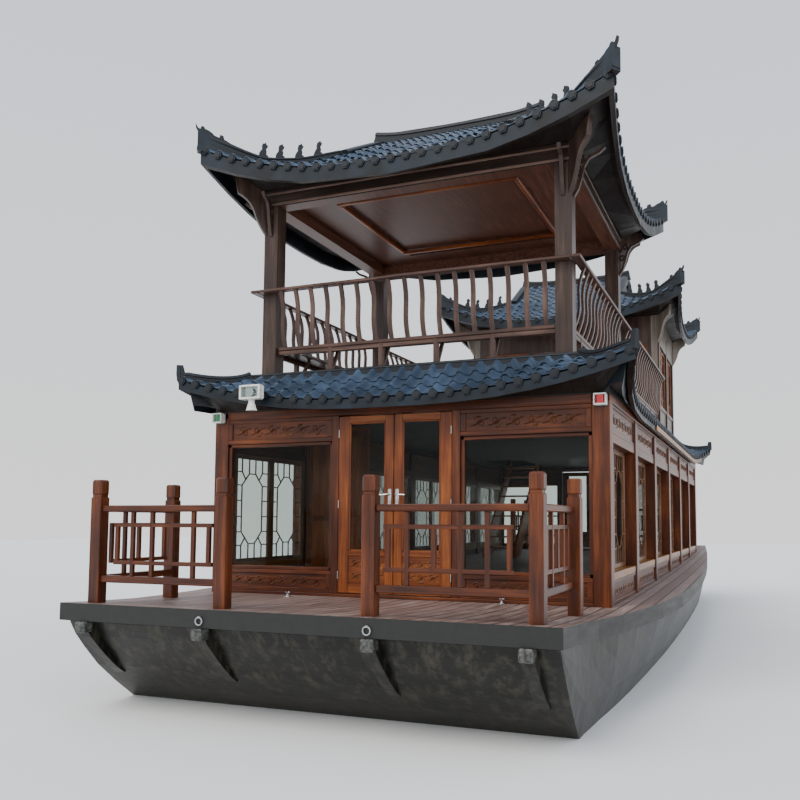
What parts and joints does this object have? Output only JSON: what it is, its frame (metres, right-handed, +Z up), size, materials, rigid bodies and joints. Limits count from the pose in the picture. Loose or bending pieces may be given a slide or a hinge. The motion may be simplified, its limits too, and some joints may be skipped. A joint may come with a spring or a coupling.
{
  "type": "double-deck houseboat",
  "caption": "Flat-bottomed pleasure boat with a long glazed timber saloon, a tiled skirt roof, an open hip-roofed pavilion and a small aft cabin on the upper deck.",
  "frame": {"origin": "on the ground under the middle of the boat's length and beam, where the flat bottom rests", "axes": "+Z up, -Y towards the bow, +X to port"},
  "size_m": [5.85, 15.782, 7.33],
  "materials": {
    "hull_paint": "olive-black satin paint, scuffed",
    "deck_boards": "weathered grey-brown ribbed boards, dark painted edge band",
    "varnished_timber": "red-brown semi-gloss varnish",
    "door_timber": "orange-brown semi-gloss varnish",
    "dark_timber": "dark grey-brown satin stain",
    "roof_tile": "slate-blue half-gloss glaze",
    "window_glass": "clear, slightly dark",
    "lamp_housing": "white gloss",
    "port_lamp": "red lens in a white case",
    "starboard_lamp": "green lens in a white case",
    "bronze": "dull bronze"
  },
  "bodies": {
    "boat": {"main_deck_fore": "deck_boards", "main_deck_middle": "deck_boards", "main_deck_aft": "deck_boards", "hull": "hull_paint", "foredeck_rail_port": "varnished_timber", "foredeck_rail_starboard": "varnished_timber", "aftdeck_rail_port": "varnished_timber", "aftdeck_rail_starboard": "varnished_timber", "port_wall": "varnished_timber", "starboard_wall": "varnished_timber", "port_window_1": "varnished_timber", "starboard_window_1": "varnished_timber", "port_window_2": "varnished_timber", "starboard_window_2": "varnished_timber", "port_window_3": "varnished_timber", "starboard_window_3": "varnished_timber", "port_window_4": "varnished_timber", "starboard_window_4": "varnished_timber", "port_window_5": "varnished_timber", "starboard_window_5": "varnished_timber", "port_window_6": "varnished_timber", "starboard_window_6": "varnished_timber", "front_wall": "varnished_timber", "front_window_port": "window_glass", "front_window_starboard": "window_glass", "aft_wall": "varnished_timber", "aft_window_port": "window_glass", "aft_window_starboard": "window_glass", "saloon_partition": "door_timber", "saloon_stair": "door_timber", "upper_deck": "deck_boards", "skirt_roof_front": "roof_tile", "skirt_roof_aft": "roof_tile", "skirt_roof_port": "roof_tile", "skirt_roof_starboard": "roof_tile", "pavilion_roof": "roof_tile", "aft_cabin_roof": "roof_tile", "pavilion_post_port_fore": "dark_timber", "pavilion_post_port_aft": "dark_timber", "pavilion_post_starboard_fore": "dark_timber", "pavilion_post_starboard_aft": "dark_timber", "pavilion_ceiling": "dark_timber", "bench_front": "dark_timber", "bench_port": "dark_timber", "bench_starboard": "dark_timber", "aft_cabin_port_wall": "dark_timber", "aft_cabin_starboard_wall": "dark_timber", "aft_cabin_front_wall": "dark_timber", "aft_cabin_aft_wall": "dark_timber", "searchlight": "lamp_housing", "sidelight_port": "port_lamp", "sidelight_starboard": "starboard_lamp"},
    "propeller": {"propeller": "bronze"},
    "rudder": {"rudder": "hull_paint"},
    "front_door_port": {"front_door_port": "door_timber"},
    "front_door_starboard": {"front_door_starboard": "door_timber"},
    "aft_door_port": {"aft_door_port": "door_timber"},
    "aft_door_starboard": {"aft_door_starboard": "door_timber"},
    "aft_cabin_door_port": {"aft_cabin_door_port": "door_timber"},
    "aft_cabin_door_starboard": {"aft_cabin_door_starboard": "door_timber"}
  },
  "joints": [
    {"name": "front_door_port_hinge", "type": "hinge", "parent": "boat", "child": "front_door_port", "pos_m": [0.69, -5.617, 1.96], "axis": [0, 0, 1], "range_deg": [0, 100]},
    {"name": "front_door_starboard_hinge", "type": "hinge", "parent": "boat", "child": "front_door_starboard", "pos_m": [-0.69, -5.617, 1.96], "axis": [0, 0, -1], "range_deg": [0, 100]},
    {"name": "aft_door_port_hinge", "type": "hinge", "parent": "boat", "child": "aft_door_port", "pos_m": [0.69, 5.679, 2.16], "axis": [0, 0, -1], "range_deg": [0, 100]},
    {"name": "aft_door_starboard_hinge", "type": "hinge", "parent": "boat", "child": "aft_door_starboard", "pos_m": [-0.69, 5.679, 2.16], "axis": [0, 0, 1], "range_deg": [0, 100]},
    {"name": "aft_cabin_door_port_hinge", "type": "hinge", "parent": "boat", "child": "aft_cabin_door_port", "pos_m": [0.595, 2.683, 4.46], "axis": [0, 0, 1], "range_deg": [0, 100]},
    {"name": "aft_cabin_door_starboard_hinge", "type": "hinge", "parent": "boat", "child": "aft_cabin_door_starboard", "pos_m": [-0.595, 2.683, 4.46], "axis": [0, 0, -1], "range_deg": [0, 100]},
    {"name": "propeller_shaft", "type": "hinge", "parent": "boat", "child": "propeller", "pos_m": [0, 7.331, 0.26], "axis": [0, 1, 0], "continuous": true},
    {"name": "rudder_stock", "type": "hinge", "parent": "boat", "child": "rudder", "pos_m": [0, 7.521, 0.31], "axis": [0, 0, 1], "range_deg": [-35, 35]}
  ]
}
